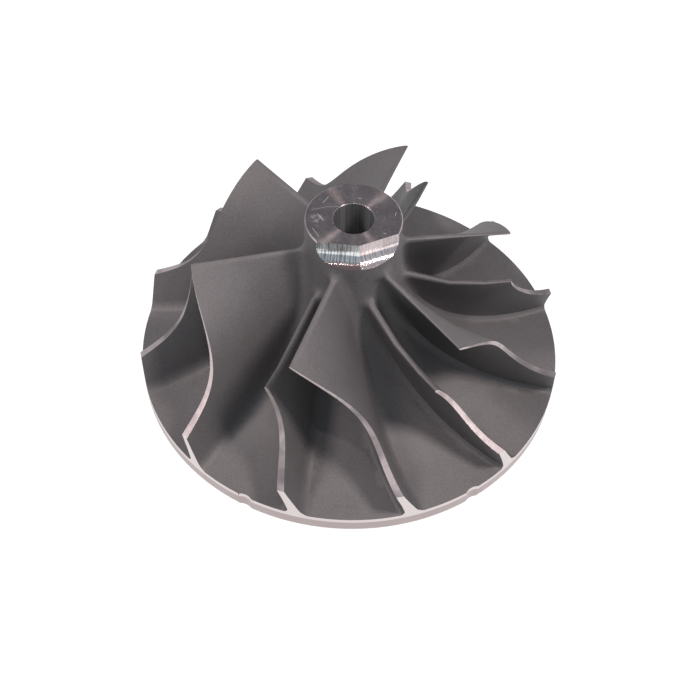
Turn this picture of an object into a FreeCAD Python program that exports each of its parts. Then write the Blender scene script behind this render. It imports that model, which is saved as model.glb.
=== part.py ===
import FreeCAD, Part
import math
import os
from FreeCAD import Vector

# The compressor wheel of a turbocharger, one aluminium piece, in millimetres. It turns about Z,
# air enters at the top, and the origin is the centre of the thrust face at its back. The body is
# a solid of revolution. Each blade is ruled by straight elements from the floor to the blade
# tips, is built too long, and is turned down to the tip line and to the wheel's diameter.

# Turned body
wheel_dia = 104.0  # over the disc and the exit edges of the blades
nose_dia = 22.4
bore_dia = 9.525
bore_chamfer = 0.14
nose_chamfer = 0.25
disc_edge = 4.1  # axial thickness of the disc at its rim
rim_band = 1.1  # straight upper part of the rim
rim_taper = 0.15  # how far the rim's back corner is turned in

# Heights above the rim's back corner
nose_height = 49.2
inlet_height = 39.1  # leading edges of the full blades, at their tips
floor_start = 41.0  # end of the straight nose, start of the floor between the blades

# Back of the disc
boss_drop = 5.0  # the thrust face lies this far behind the rim
boss_dia = 27.0
boss_step = 1.8  # straight side of the boss
back_flat = 7.0  # flat ring inside the rim, before the back thickens to the boss

# Floor between the blades, from the nose to the rim, shaped by how far each end runs straight,
# and turned as arcs that run into each other
floor_nose_run = 17.0
floor_rim_run = 30.8
floor_rim_rise = 2.0  # the floor's fall over the second run
arc_tolerance = 0.05

# Blade tip line, from the inlet to the exit
inducer_dia = 75.2
exit_width = 8.2  # blade height at the exit
tip_inlet_run = 10.5
tip_axial_run = 22.0

# Blades: wrap angles in degrees along the floor and the tip line, from the inlet tip
blade_pairs = 6
first_blade = -110.0
floor_wraps = (-0.9, 31.0, 31.0, 37.8)
tip_wraps = (0.0, 31.0, 28.6, 33.9)
splitter_turn = -30.0
full_starts = (0.0, 0.0, 0.0)  # where a leading edge lies on the path, at floor, middle and tip
splitter_starts = (0.145, 0.30, 0.33)
inlet_thickness = 0.75
exit_thickness = 1.56
root_thickening = 0.9  # how much thicker a blade is at the floor than at its tip
edge_rounding = 1.0  # length of the rounded leading edge
edge_flat = 15.0  # the flat left at the leading edge, in degrees of the rounding
root_fillet = 2.2  # reach of the fillet along the floor and up the blade

# Balancing cuts, all made with one ball-ended cutter
cutter_dia = 6.35
nose_cut_directions = (-94.5, -64.5)
nose_cut_depth = 2.95
nose_cut_wall = 2.0  # straight part of the cut, below the nose face
notch_directions = (-116.3, -55.0)
notch_depth = 0.55

# Stock that the cuts take away, and how deep blade roots are sunk in the floor
overshoot = 1.5
path_overshoot = 0.03  # share of a blade's path that runs beyond the exit
sunk = 1.8

wheel_r = wheel_dia / 2
nose_r = nose_dia / 2
inducer_r = inducer_dia / 2
rim_z = boss_drop
floor_z = rim_z + disc_edge
nose_z = rim_z + nose_height
inlet_z = rim_z + inlet_height

AXIS = Vector(0, 0, 1)
CENTRE = Vector(0, 0, 0)
SMALL_STEP = 0.001
FILLET_SHARES = (0.35, 0.7)  # places of the levels on a fillet, from its foot to its shoulder
SHOULDER = len(FILLET_SHARES) + 1  # level 0 is sunk in the floor, and the next ones follow the fillet
WALL_ROWS = 3
TOP = SHOULDER + WALL_ROWS
NOSE_ROWS = 4
BODY_ROWS = 9


def at(radius, height):
    """A point in the plane where outlines are drawn before they are turned about the axis."""
    return Vector(radius, 0, height)


floor_poles = [
    at(nose_r, rim_z + floor_start),
    at(nose_r, rim_z + floor_start - floor_nose_run),
    at(wheel_r - floor_rim_run, floor_z + floor_rim_rise),
    at(wheel_r, floor_z),
]
tip_poles = [
    at(inducer_r, inlet_z),
    at(inducer_r, inlet_z - tip_inlet_run),
    at(inducer_r, inlet_z - tip_axial_run),
    at(wheel_r, floor_z + exit_width),
]


def bezier(poles, s):
    """The Bezier value at s, of numbers or of vectors."""
    while len(poles) > 1:
        poles = [a + (b - a) * s for a, b in zip(poles, poles[1:])]
    return poles[0]


def about_axis(point, degrees):
    angle = math.radians(degrees)
    return Vector(point.x * math.cos(angle), point.x * math.sin(angle), point.z)


def path_point(poles, wraps, s):
    """A point of the line that winds around the axis on a floor or tip outline."""
    return about_axis(bezier(poles, s), first_blade + bezier(wraps, s))


def straight_element(s):
    """The straight element of a blade's middle surface at s: its root, direction and length."""
    root = path_point(floor_poles, floor_wraps, s)
    reach = path_point(tip_poles, tip_wraps, s) - root
    return root, reach / reach.Length, reach.Length


def middle_point(s, span):
    root, rise, length = straight_element(s)
    return root + rise * (length * span)


def floor_normal(s):
    """The floor's outward normal where the middle surface meets it."""
    slope = bezier(floor_poles, s + SMALL_STEP) - bezier(floor_poles, s - SMALL_STEP)
    flat_normal = Vector(-slope.z, 0, slope.x).normalize()
    return about_axis(flat_normal, first_blade + bezier(floor_wraps, s))


def thickness(s, span):
    at_tip = inlet_thickness + (exit_thickness - inlet_thickness) * s
    return at_tip + root_thickening * (1 - span)


def face_point(s, level, turn, way):
    """A point on one face of a blade, at a level between its sunk root and beyond its tip.

    way is 1 or -1 for the two faces. turn, up to a right angle, rounds the leading edge.
    """
    root, rise, length = straight_element(s)
    along = (middle_point(s + SMALL_STEP, 0) - middle_point(s - SMALL_STEP, 0)).normalize()
    side = along.cross(rise).normalize() * way
    if level > SHOULDER:
        reach = root_fillet + (length + overshoot - root_fillet) * wall_share(level)
        span = reach / length
        return root + rise * reach + side * (thickness(s, span) / 2 * math.sin(turn))
    normal = floor_normal(s)
    out = along.cross(normal).normalize() * way
    wall = root + side * (thickness(s, 0) / 2 * math.sin(turn))
    corner = wall - rise * ((wall - root).dot(normal) / rise.dot(normal))
    foot = corner + (out * math.sin(turn) - along * math.cos(turn)) * root_fillet
    fillet = [foot, corner, corner + rise * root_fillet]
    if level == SHOULDER:
        return fillet[-1]
    share = FILLET_SHARES[max(0, level - 1)]
    point = bezier(fillet, share)
    if level == 0:
        downhill = point - bezier(fillet, share + SMALL_STEP)
        point += downhill.normalize() * sunk
    return point


def wall_share(level):
    """How far up the free wall of a blade a level lies."""
    return max(0, level - SHOULDER) / (TOP - SHOULDER)


def place_behind(start, level, distance):
    """The place on the blade's path this far behind its leading edge."""
    span = wall_share(level)
    step = middle_point(start + SMALL_STEP, span) - middle_point(start - SMALL_STEP, span)
    return start + distance * 2 * SMALL_STEP / step.Length


def face_grids(starts, way):
    """Points of one face, in rows along the blade: its rounded leading edge, then its body."""
    edge = [(level, bezier(starts, wall_share(level))) for level in range(TOP + 1)]
    nose = []
    for i in range(NOSE_ROWS):
        turn = math.radians(edge_flat + (90 - edge_flat) * i / (NOSE_ROWS - 1))
        back = edge_rounding * (1 - math.cos(turn))
        nose.append([face_point(place_behind(s, level, back), level, turn, way) for level, s in edge])
    body = []
    for i in range(BODY_ROWS):
        row = []
        for level, start in edge:
            first = place_behind(start, level, edge_rounding)
            s = first + (1 + path_overshoot - first) * i / (BODY_ROWS - 1)
            row.append(face_point(s, level, math.pi / 2, way))
        body.append(row)
    return nose, body


def level_curves(grid):
    """A spline along the blade at each level."""
    places = [i / (len(grid) - 1) for i in range(len(grid))]
    curves = []
    for points in zip(*grid):
        curve = Part.BSplineCurve()
        curve.interpolate(Points=list(points), Parameters=places)
        curves.append(curve.toShape())
    return curves


def ruled_strips(curves):
    return [Part.makeRuledSurface(a, b) for a, b in zip(curves, curves[1:])]


def end_strips(left_row, right_row):
    """What closes the blade between its faces, at its leading edge or beyond its exit."""
    return [Part.makeRuledSurface(a, b) for a, b in zip(lines(left_row), lines(right_row))]


def blade_blank(starts):
    """One blade before turning, longer than the finished one at its tip, exit and root."""
    left, right = face_grids(starts, 1), face_grids(starts, -1)
    faces = end_strips(left[0][0], right[0][0]) + end_strips(left[1][-1], right[1][-1])
    for left_grid, right_grid in zip(left, right):
        left_curves, right_curves = level_curves(left_grid), level_curves(right_grid)
        faces += ruled_strips(left_curves) + ruled_strips(right_curves)
        faces += [Part.makeRuledSurface(left_curves[i], right_curves[i]) for i in (0, TOP)]
    shell = Part.makeShell(faces)
    shell.sewShape()
    solid = Part.makeSolid(Part.Shell(shell.Faces))
    if solid.Volume < 0:
        solid.reverse()
    return solid


def lines(points):
    return [Part.makeLine(a, b) for a, b in zip(points, points[1:])]


def bezier_edge(poles):
    curve = Part.BezierCurve()
    curve.setPoles(poles)
    return curve.toShape()


def tangent_arcs(poles):
    """Arcs that follow a Bezier line closely, from its end back to its start."""
    arcs = bezier_edge(poles).Curve.toBSpline().toBiArcs(arc_tolerance)
    return [arc.toShape() for arc in reversed(arcs)]


def turned(edges):
    return Part.Face(Part.Wire(edges)).revolve(CENTRE, AXIS, 360)


def rotated(shape, degrees):
    copy = shape.copy()
    copy.rotate(CENTRE, AXIS, degrees)
    return copy


def turned_body():
    """The nose, hub and disc in one, before the bore is drilled."""
    boss_r = boss_dia / 2
    back = [CENTRE, at(boss_r, 0), at(boss_r, boss_step), at(wheel_r - back_flat, rim_z)]
    rim = [at(wheel_r - rim_taper, rim_z), at(wheel_r, floor_z - rim_band), at(wheel_r, floor_z)]
    nose = [
        at(nose_r, rim_z + floor_start),
        at(nose_r, nose_z - nose_chamfer),
        at(nose_r - nose_chamfer, nose_z),
        at(0, nose_z),
        CENTRE,
    ]
    return turned(lines(back + rim) + tangent_arcs(floor_poles) + lines(nose))


def turning_envelope():
    """The space left to the blades when their tips and exit edges are turned."""
    top = nose_z + overshoot
    exit_side = [CENTRE, at(wheel_r, 0), at(wheel_r, floor_z + exit_width)]
    inlet_side = [at(inducer_r, inlet_z), at(inducer_r, top), at(0, top), CENTRE]
    return turned(lines(exit_side) + [bezier_edge(tip_poles)] + lines(inlet_side))


def blades():
    """Full blades and splitters in turn around the axis."""
    envelope = turning_envelope()
    full = blade_blank(full_starts).common(envelope)
    splitter = rotated(blade_blank(splitter_starts).common(envelope), splitter_turn)
    angles = [360 * i / blade_pairs for i in range(blade_pairs)]
    return [rotated(blade, angle) for angle in angles for blade in (full, splitter)]


def bore_tools():
    """The drill, and the chamfers at its two mouths."""
    radius = bore_dia / 2
    wide = radius + bore_chamfer
    drill = Part.makeCylinder(radius, nose_z + 2 * overshoot, Vector(0, 0, -overshoot))
    front = Part.makeCone(radius, wide, bore_chamfer, Vector(0, 0, nose_z - bore_chamfer))
    back = Part.makeCone(wide, radius, bore_chamfer)
    return [drill, front, back]


def nose_cut(direction):
    """One straight pass of the cutter across the nose: a flat wall that runs out in a round."""
    ball = cutter_dia / 2
    flat = nose_r - nose_cut_depth
    level = nose_z - nose_cut_wall
    top = nose_z + overshoot
    round_end = Part.Arc(at(flat, level), at(flat + ball, level - ball), at(flat + cutter_dia, level))
    walls = [at(flat + cutter_dia, level), at(flat + cutter_dia, top), at(flat, top), at(flat, level)]
    profile = Part.Face(Part.Wire([round_end.toShape()] + lines(walls)))
    profile.translate(Vector(0, -nose_dia, 0))
    return rotated(profile.extrude(Vector(0, 2 * nose_dia, 0)), direction)


def rim_notch(direction):
    radius = cutter_dia / 2
    spot = about_axis(at(wheel_r - notch_depth + radius, 0), direction)
    return Part.makeCylinder(radius, floor_z + overshoot, spot)


def compressor_wheel():
    wheel = turned_body().fuse(blades())
    cuts = bore_tools()
    cuts += [nose_cut(direction) for direction in nose_cut_directions]
    cuts += [rim_notch(direction) for direction in notch_directions]
    for tool in cuts:
        wheel = wheel.cut(tool)
    return wheel.Solids[0]


os.makedirs("parts", exist_ok=True)
compressor_wheel().exportStep("parts/compressor_wheel.step")
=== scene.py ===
import math

import bmesh
import bpy
from mathutils import Matrix, Vector
from mathutils.geometry import interpolate_bezier


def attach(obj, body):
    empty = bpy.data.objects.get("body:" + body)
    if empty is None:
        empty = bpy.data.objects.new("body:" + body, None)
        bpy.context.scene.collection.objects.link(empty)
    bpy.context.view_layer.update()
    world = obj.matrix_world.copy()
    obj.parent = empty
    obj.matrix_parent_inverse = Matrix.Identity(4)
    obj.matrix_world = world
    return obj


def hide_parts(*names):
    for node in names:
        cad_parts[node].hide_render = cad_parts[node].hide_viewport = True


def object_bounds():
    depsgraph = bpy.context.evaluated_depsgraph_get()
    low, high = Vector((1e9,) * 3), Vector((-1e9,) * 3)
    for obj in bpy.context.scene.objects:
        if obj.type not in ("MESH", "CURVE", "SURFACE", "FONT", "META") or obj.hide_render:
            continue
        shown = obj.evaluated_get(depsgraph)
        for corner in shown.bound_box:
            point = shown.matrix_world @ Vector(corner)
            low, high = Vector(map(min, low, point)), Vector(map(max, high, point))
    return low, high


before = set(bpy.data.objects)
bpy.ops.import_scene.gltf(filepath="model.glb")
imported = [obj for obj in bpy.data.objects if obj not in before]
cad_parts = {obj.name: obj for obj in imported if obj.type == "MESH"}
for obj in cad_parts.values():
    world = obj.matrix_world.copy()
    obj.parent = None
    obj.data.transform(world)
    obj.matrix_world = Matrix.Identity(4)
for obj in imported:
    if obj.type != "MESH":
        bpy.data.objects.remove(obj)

cad_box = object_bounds()

# The wheel: one casting in aluminium alloy, with hub, disc and twelve blades in one, blasted to
# an even matt grain. It is then turned between centres: bore, nose, back, rim and the blades'
# tips and exit edges are cut bright, and everything else keeps the skin of the casting.
CAST, EDGES, RIM, NOSE_FACE, FRONT_CUT, SIDE_CUT, BORE, BACK = range(8)
wheel_r = cad_box[1][0]
nose_r = 0.0112
bore_r = 0.0047625
inducer_r = 0.0376
nose_z = cad_box[1][2]
nose_chamfer = 0.00025
cuts_bottom_z = 0.046
ridge_direction = -79.5  # of the ridge between the two balancing cuts, in degrees
rim_corner_z = 0.005
rim_top_z = 0.0091
notch_depth = 0.0008  # how far inside the rim its balancing notches may lie
sharp_angle = math.radians(35)
hair = 0.00005
tip_line = interpolate_bezier(
    Vector((inducer_r, 0.0441)),
    Vector((inducer_r, 0.0336)),
    Vector((inducer_r, 0.0221)),
    Vector((wheel_r, 0.0173)),
    160,
)
tip_slack = 0.0005

wheel_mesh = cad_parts["compressor_wheel"].data.copy()
wheel = bpy.data.objects.new("cast_wheel", wheel_mesh)
bpy.context.scene.collection.objects.link(wheel)


def on_tip_line(spot):
    """Whether a spot lies where the tool that turns the blade tips has passed."""
    place = Vector((spot.xy.length, spot.z))
    gaps = [point - place for point in tip_line]
    return min(abs(gap.x) + abs(gap.y) for gap in gaps) < tip_slack


def region(face):
    """Which finish a face of the wheel has, from where it lies and where it points."""
    spot, normal = face.calc_center_median(), face.normal
    radius, direction = spot.xy.length, spot.xy.normalized()
    outward = normal.xy.dot(direction)
    turned_side = abs(normal.xy.normalized().dot(direction)) > 0.97
    if spot.z > nose_z - hair:
        return NOSE_FACE
    if spot.z > nose_z - nose_chamfer - hair and normal.z > 0.3:
        return EDGES
    if radius < bore_r * 1.02:
        return BORE
    if radius > wheel_r - notch_depth and outward > 0.85 and spot.z < rim_top_z:
        return RIM
    if radius > wheel_r - hair * 2 and outward > 0.9:
        return RIM
    if spot.z < rim_corner_z + hair * 2 and normal.z < -0.2:
        return BACK
    if radius < nose_r * 0.998 and spot.z > cuts_bottom_z:
        return FRONT_CUT if math.degrees(math.atan2(spot.y, spot.x)) < ridge_direction else SIDE_CUT
    if outward > 0.1 and radius > inducer_r - 0.0004 and turned_side and on_tip_line(spot):
        return EDGES
    return CAST


# The skin of the casting: small beads were blasted over it after it left the mould, so it has a
# fine even grain with a little cloudiness.
class Value:
    """An output of a shader node. Sums and products of values add their Math nodes."""

    def __init__(self, finish, socket):
        self.finish, self.socket = finish, socket

    def math(self, operation, *others):
        return self.finish.node("ShaderNodeMath", {"operation": operation}, (self, *others))

    def __add__(self, other):
        return self.math("ADD", other)

    def __rsub__(self, other):
        return (self * -1.0).math("ADD", other)

    def __mul__(self, other):
        return self.math("MULTIPLY", other)

    __radd__ = __add__
    __rmul__ = __mul__


class Finish:
    """A material, and the one method that adds a node to it."""

    def __init__(self, name, **constants):
        self.material = bpy.data.materials.new(name)
        self.material.use_nodes = True
        self.tree = self.material.node_tree
        self.shader = self.tree.nodes["Principled BSDF"]
        self.feed(**constants)
        self.place = self.node("ShaderNodeTexCoord", {}, (), "Object")

    def node(self, kind, settings, values, output=0):
        """A new node's output, after its settings and its sockets, by name or in order."""
        node = self.tree.nodes.new(kind)
        for name, setting in settings.items():
            setattr(node, name, setting)
        sockets = values.items() if isinstance(values, dict) else enumerate(values)
        for name, value in sockets:
            self.connect(node.inputs[name], value)
        return Value(self, node.outputs[output])

    def connect(self, socket, value):
        if isinstance(value, Value):
            self.tree.links.new(value.socket, socket)
        else:
            socket.default_value = value

    def feed(self, **values):
        """Set or link the sockets of the material's shader."""
        for name, value in values.items():
            self.connect(self.shader.inputs[name.replace("_", " ")], value)

    def vector_math(self, operation, output, *values):
        return self.node("ShaderNodeVectorMath", {"operation": operation}, values, output)

    def part_of_place(self, axis):
        return self.node("ShaderNodeSeparateXYZ", {}, (self.place,), axis)

    def from_axis(self):
        """The distance from the wheel's axis."""
        x, y = self.part_of_place("X"), self.part_of_place("Y")
        return (x * x + y * y).math("SQRT")

    def noise(self, scale, detail, roughness, place=None):
        settings = {"Vector": place or self.place, "Scale": scale, "Detail": detail, "Roughness": roughness}
        return self.node("ShaderNodeTexNoise", {}, settings)

    def tool_marks(self, distance, per_metre):
        """The lines that a lathe tool leaves, along which a distance is the same."""
        along = self.node("ShaderNodeCombineXYZ", {}, (0.0, 0.0, distance * per_metre))
        return self.noise(1.0, 3, 0.7, along)

    def band(self, value, low, high):
        """0 below low, 1 above high, and smooth between."""
        return self.node(
            "ShaderNodeMapRange",
            {"interpolation_type": "SMOOTHSTEP"},
            {"Value": value, "From Min": low, "From Max": high},
        )

    def mix(self, share, first, second):
        """A colour between two colours."""
        return self.node(
            "ShaderNodeMix", {"data_type": "RGBA"}, {"Factor": share, 6: first, 7: second}, 2
        )

    def scratch(self, start, end, width):
        """1 along a scratch between two points, and 0 away from it."""
        run = end - start
        from_start = self.vector_math("SUBTRACT", 0, self.place, start)
        share = self.vector_math("DOT_PRODUCT", 1, from_start, run / run.length_squared)
        share = share.math("MAXIMUM", 0.0).math("MINIMUM", 1.0)
        nearest = self.node("ShaderNodeVectorMath", {"operation": "SCALE"}, {0: run, "Scale": share})
        gap = self.vector_math("LENGTH", 1, self.vector_math("SUBTRACT", 0, from_start, nearest))
        return 1 - self.band(gap, width * 0.5, width)

    def scratched(self, colour, scratches, bared):
        """A colour with scratches in it, each given by its two ends and its width."""
        for start, end, width in scratches:
            colour = self.mix(self.scratch(Vector(start), Vector(end), width), colour, bared)
        return colour

    def bump(self, height, strength, distance):
        return self.node(
            "ShaderNodeBump", {}, {"Height": height, "Strength": strength, "Distance": distance}
        )


def grey(level, warmth=0.0):
    """A colour from its brightness, a little pink where warmth is above 0 and blue below."""
    return (level * (1 + warmth), level * (1 - warmth * 0.6), level * (1 - warmth * 0.7), 1)


skin = Finish("blasted_casting", Metallic=0.4, Specular_IOR_Level=0.3)
grain = skin.noise(2300, 3, 0.65)
coarse_grain = skin.noise(900, 2, 0.5)
cloud = skin.noise(55, 4, 0.6)
skin_colour = skin.mix(skin.band(cloud, 0.3, 0.7), grey(0.118, 0.06), grey(0.14, 0.04))
skin_colour = skin.mix(skin.band(grain, 0.3, 0.75) * 0.35, skin_colour, grey(0.23, 0.02))
skin.feed(
    Base_Color=skin_colour,
    Roughness=0.56 + grain * 0.12,
    Normal=skin.bump(grain * 0.6 + coarse_grain * 0.4, 0.5, 0.00005),
)

# The blade tips are turned to the shape of the housing, and the nose and bore are chamfered. The
# tool's marks run round the axis, so across each thin edge, and the metal has stained a little.
edges = Finish("turned_edges", Metallic=0.66, Anisotropic=0.9, Anisotropic_Rotation=0.25)
edge_marks = edges.tool_marks(edges.part_of_place("Z"), 5200)
edge_rubs = edges.noise(420, 4, 0.65)
edge_stains = edges.noise(80, 3, 0.5)
edge_colour = edges.mix(edges.band(edge_stains, 0.44, 0.6), grey(0.6, 0.1), grey(0.27, 0.1))
edge_colour = edges.mix(edges.band(edge_rubs, 0.5, 0.64) * 0.5, edge_colour, grey(0.36, 0.06))
edge_colour = edges.mix(edges.band(edge_marks, 0.46, 0.62) * 0.22, edge_colour, grey(0.2, 0.05))
edges.feed(
    Base_Color=edge_colour,
    Roughness=0.33 + edge_marks * 0.14 + edge_rubs * 0.1,
    Normal=edges.bump(edge_marks * 0.6 + edge_rubs * 0.4, 0.6, 0.00004),
)

# The rim and the blades' exit edges are turned in one pass to the wheel's diameter. Below them
# the rim's band is turned in a little, and painted darker: painted shade for the ground it reflects.
rim_step_z = 0.008
rim = Finish("turned_rim", Metallic=0.85, Anisotropic=0.5, Anisotropic_Rotation=0.25)
rim_height = rim.part_of_place("Z")
rim_unshaded_band = rim.band(rim_height, rim_step_z - 0.00007, rim_step_z + 0.00007)
rim_marks = rim.tool_marks(rim_height, 9000)
rim_wear = rim.noise(120, 3, 0.6)
# Below the step the rim's colour is painted darker: painted shade, with the wear patches on top.
rim_colour_and_shade = rim.mix(rim_unshaded_band, grey(0.38, 0.11), grey(0.65, 0.07))
rim_colour_and_shade = rim.mix(rim.band(rim_wear, 0.5, 0.75) * 0.2, rim_colour_and_shade, grey(0.5, 0.05))
rim.feed(
    Base_Color=rim_colour_and_shade,
    Roughness=0.3 + rim_marks * 0.12,
    Normal=rim.bump(rim_marks, 0.2, 0.00002),
)

# The nose is faced in the lathe, with rings too fine to see one by one. The nut and handling
# have left scratches and, on one side, a rubbed spot.
nose_scratches = [
    ((-0.0098, 0.0022, nose_z), (-0.0063, 0.0034, nose_z), 0.00006),
    ((-0.0063, 0.0034, nose_z), (-0.0036, 0.0035, nose_z), 0.00006),
    ((-0.0072, 0.0046, nose_z), (-0.0060, 0.0066, nose_z), 0.00009),
    ((-0.0078, 0.0004, nose_z), (-0.0069, -0.0010, nose_z), 0.00013),
    ((-0.0084, 0.0011, nose_z), (-0.0073, 0.0002, nose_z), 0.00009),
    ((-0.0092, -0.0034, nose_z), (-0.0077, -0.0060, nose_z), 0.00008),
    ((0.0096, 0.0024, nose_z), (0.0094, 0.0012, nose_z), 0.00009),
    ((0.0068, -0.0042, nose_z), (0.0074, -0.0045, nose_z), 0.0001),
    ((0.0010, 0.0064, nose_z), (0.0016, 0.0064, nose_z), 0.00009),
]
rubbed_spot = Vector((-0.0085, -0.0006, nose_z))
nose = Finish("faced_nose", Metallic=0.8, Anisotropic=1.0, Anisotropic_Rotation=0.25)
rings = nose.tool_marks(nose.from_axis(), 7000)
speckle = nose.noise(1500, 4, 0.8)
haze = nose.noise(260, 3, 0.6)
from_rub = nose.vector_math("LENGTH", 1, nose.vector_math("SUBTRACT", 0, nose.place, rubbed_spot))
rub = (1 - nose.band(from_rub, 0.0006, 0.0026)) * nose.band(nose.noise(900, 4, 0.7), 0.46, 0.62)
nose_colour = nose.mix(nose.band(haze, 0.35, 0.7), grey(0.185, 0.12), grey(0.225, 0.09))
nose_colour = nose.mix(nose.band(speckle, 0.54, 0.66) * 0.4, nose_colour, grey(0.5, 0.08))
nose_colour = nose.mix(rub * 0.6, nose_colour, grey(0.7, 0.07))
nose.feed(
    Base_Color=nose.scratched(nose_colour, nose_scratches, grey(0.8)),
    Roughness=0.21 + haze * 0.05 + rings * 0.04,
    Normal=nose.bump(rings, 0.15, 0.00002),
)


# The balancing cuts are milled across the nose by a ball-ended cutter. Its teeth leave a mark
# at each step of the feed, so the bright facets lie side by side along the pass.
def milled(name, direction, clean, tarnished, lip_painted_shade, depth, wall_roughness):
    """The finish of one cut, whose pass runs square to a direction in degrees about the axis."""
    cut = Finish(name, Metallic=0.85)
    along = cut.node(
        "ShaderNodeMapping",
        {"vector_type": "TEXTURE"},
        {"Vector": cut.place, "Rotation": (0, 0, math.radians(direction))},
    )
    stretched = cut.node("ShaderNodeMapping", {}, {"Vector": along, "Scale": (200, 2400, 200)})
    teeth = cut.noise(1.0, 3, 0.65, stretched)
    chatter = cut.noise(1500, 3, 0.6)
    facing = cut.node("ShaderNodeTexCoord", {}, (), "Normal")
    slope = cut.node("ShaderNodeSeparateXYZ", {}, (facing,), "Z")
    calm = (1 - cut.band(slope, 0.02, 0.25)) * wall_roughness
    streaks = cut.mix(cut.band(teeth, 0.38, 0.6) * (1 - calm) + calm, tarnished, clean)
    cut.feed(
        # Where the cut runs out flat at its lip, the colour is painted darker: painted shade for the dim
        # room it faces.
        Base_Color=cut.mix(cut.band(slope, 0.72, 0.9), streaks, lip_painted_shade),
        Roughness=0.1 + teeth * 0.1 + calm,
        Normal=cut.bump(teeth * 0.85 + chatter * 0.15, 1.0, depth),
    )
    return cut


front_cut = milled(
    "milled_front_cut",
    direction=-94.5,
    clean=grey(0.8, -0.03),
    tarnished=grey(0.36),
    lip_painted_shade=grey(0.22, 0.2),
    # the lip's colour is painted shade
    depth=0.00006,
    wall_roughness=0.06,
)
side_cut = milled(
    "milled_side_cut",
    direction=-64.5,
    clean=grey(0.92, 0.06),
    tarnished=grey(0.6, 0.13),
    lip_painted_shade=grey(0.6, 0.1),
    # the lip's colour is painted shade
    depth=0.00014,
    wall_roughness=0.38,
)

# The bore is bored to a fine size for the shaft, and the tool is drawn out along it, which
# leaves faint lines from end to end.
bore = Finish("finished_bore", Metallic=0.45, Anisotropic=1.0, Anisotropic_Rotation=0.25)
drawn = bore.node("ShaderNodeMapping", {}, {"Vector": bore.place, "Scale": (1500, 1500, 20)})
bore_lines = bore.noise(1.0, 3, 0.7, drawn)
bore.feed(
    Base_Color=bore.mix(bore.band(bore_lines, 0.4, 0.65), grey(0.2), grey(0.27)),
    Roughness=0.2 + bore_lines * 0.1,
    Normal=bore.bump(bore_lines, 0.1, 0.00002),
)

# The back of the disc and the boss are faced in one setting, with the rings of the nose but
# coarser, and have dulled in patches.
back = Finish("turned_back", Metallic=0.9, Anisotropic=0.7, Anisotropic_Rotation=0.25)
back_rings = back.tool_marks(back.from_axis(), 3500)
back_wear = back.noise(220, 5, 0.7)
back_colour = back.mix(back.band(back_rings, 0.35, 0.65), grey(0.5, 0.05), grey(0.68, 0.03))
back.feed(
    Base_Color=back.mix(back.band(back_wear, 0.5, 0.75) * 0.3, back_colour, grey(0.42, 0.06)),
    Roughness=0.26 + back_rings * 0.16,
    Normal=back.bump(back_rings, 0.35, 0.00003),
)

# The finished wheel: each face takes the finish of its region, in the order of their numbers. It
# is smooth but for the edges that the tools leave sharp, so the mesh's own normals are dropped.
wheel_mesh.materials.clear()
for finish in (skin, edges, rim, nose, front_cut, side_cut, bore, back):
    wheel_mesh.materials.append(finish.material)

shape = bmesh.new()
shape.from_mesh(wheel_mesh)
bmesh.ops.remove_doubles(shape, verts=shape.verts, dist=1e-6)
for face in shape.faces:
    face.smooth = True
    face.material_index = region(face)
for edge in shape.edges:
    edge.smooth = edge.is_manifold and edge.calc_face_angle(0) < sharp_angle
shape.to_mesh(wheel_mesh)
shape.free()
if wheel_mesh.attributes.get("custom_normal"):
    wheel_mesh.attributes.remove(wheel_mesh.attributes["custom_normal"])

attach(wheel, "root")
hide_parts("compressor_wheel")

# The studio: the wheel stands on evenly lit white paper, which lies a hair below it, between two
# softboxes on its left and right, with a small lamp overhead and a dim room around it.
floor_shape = bmesh.new()
below = Matrix.Translation((0, 0, -hair))
bmesh.ops.create_grid(floor_shape, x_segments=1, y_segments=1, size=3.0, matrix=below)
floor_mesh = bpy.data.meshes.new("studio_floor")
floor_shape.to_mesh(floor_mesh)
floor_shape.free()
floor = bpy.data.objects.new("studio_floor", floor_mesh)
bpy.context.scene.collection.objects.link(floor)
paper = Finish("white_paper", Roughness=1.0, Emission_Strength=1.0)
paper.feed(Base_Color=(0.1, 0.1, 0.1, 1), Emission_Color=(1, 1, 1, 1))
floor_mesh.materials.append(paper.material)

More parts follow.
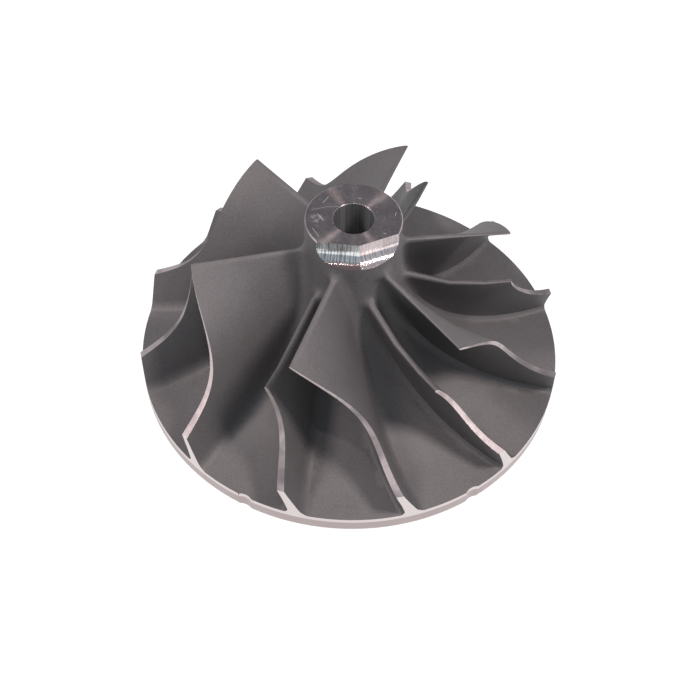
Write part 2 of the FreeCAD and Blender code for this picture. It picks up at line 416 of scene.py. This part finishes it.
room = bpy.data.worlds.new("studio")
room.use_nodes = True
room_light = room.node_tree.nodes["Background"]
room_light.inputs["Color"].default_value = (0.74, 0.87, 1.0, 1.0)
room_light.inputs["Strength"].default_value = 0.35
bpy.context.scene.world = room

lamp_colour = (1.0, 0.905, 0.895)


def soft_light(name, azimuth, elevation, distance, size, power):
    """A round lamp that stands in a direction from the wheel, in degrees, and faces it."""
    flat, steep = math.radians(azimuth), math.radians(elevation)
    way = Vector((math.cos(flat) * math.cos(steep), math.sin(flat) * math.cos(steep), math.sin(steep)))
    lamp = bpy.data.lights.new(name, "AREA")
    lamp.shape = "DISK"
    lamp.size = size
    lamp.energy = power
    lamp.color = lamp_colour
    stand = bpy.data.objects.new(name, lamp)
    stand.location = way * distance
    stand.rotation_euler = way.to_track_quat("Z", "Y").to_euler()
    bpy.context.scene.collection.objects.link(stand)


soft_light("left_softbox", azimuth=178, elevation=57, distance=0.7, size=0.12, power=2.5)
soft_light("right_softbox", azimuth=-20, elevation=57, distance=0.7, size=0.15, power=3.2)
soft_light("overhead_lamp", azimuth=-90, elevation=74, distance=0.8, size=0.02, power=0.45)

# The camera stands in front of the wheel and looks down on it, a little rolled, from about a
# third of a metre, with a long lens.
camera_place = Vector((0, -0.21064, 0.27213))
camera_aim = Vector((0.00017, 0, 0.00617))
camera_roll = math.radians(1.98)
forward = (camera_aim - camera_place).normalized()
level_right = forward.cross(Vector((0, 0, 1))).normalized()
level_up = level_right.cross(forward)
right = level_right * math.cos(camera_roll) + level_up * math.sin(camera_roll)
up = level_up * math.cos(camera_roll) - level_right * math.sin(camera_roll)
turned = Matrix((right, up, -forward)).transposed().to_4x4()
camera_lens = bpy.data.cameras.new("camera")
camera_lens.sensor_width = 36
camera_lens.lens = 68.5
camera_lens.clip_start = 0.01
camera = bpy.data.objects.new("camera", camera_lens)
camera.matrix_world = Matrix.Translation(camera_place) @ turned
bpy.context.scene.collection.objects.link(camera)
bpy.context.scene.camera = camera
bpy.context.scene.view_settings.view_transform = "Standard"
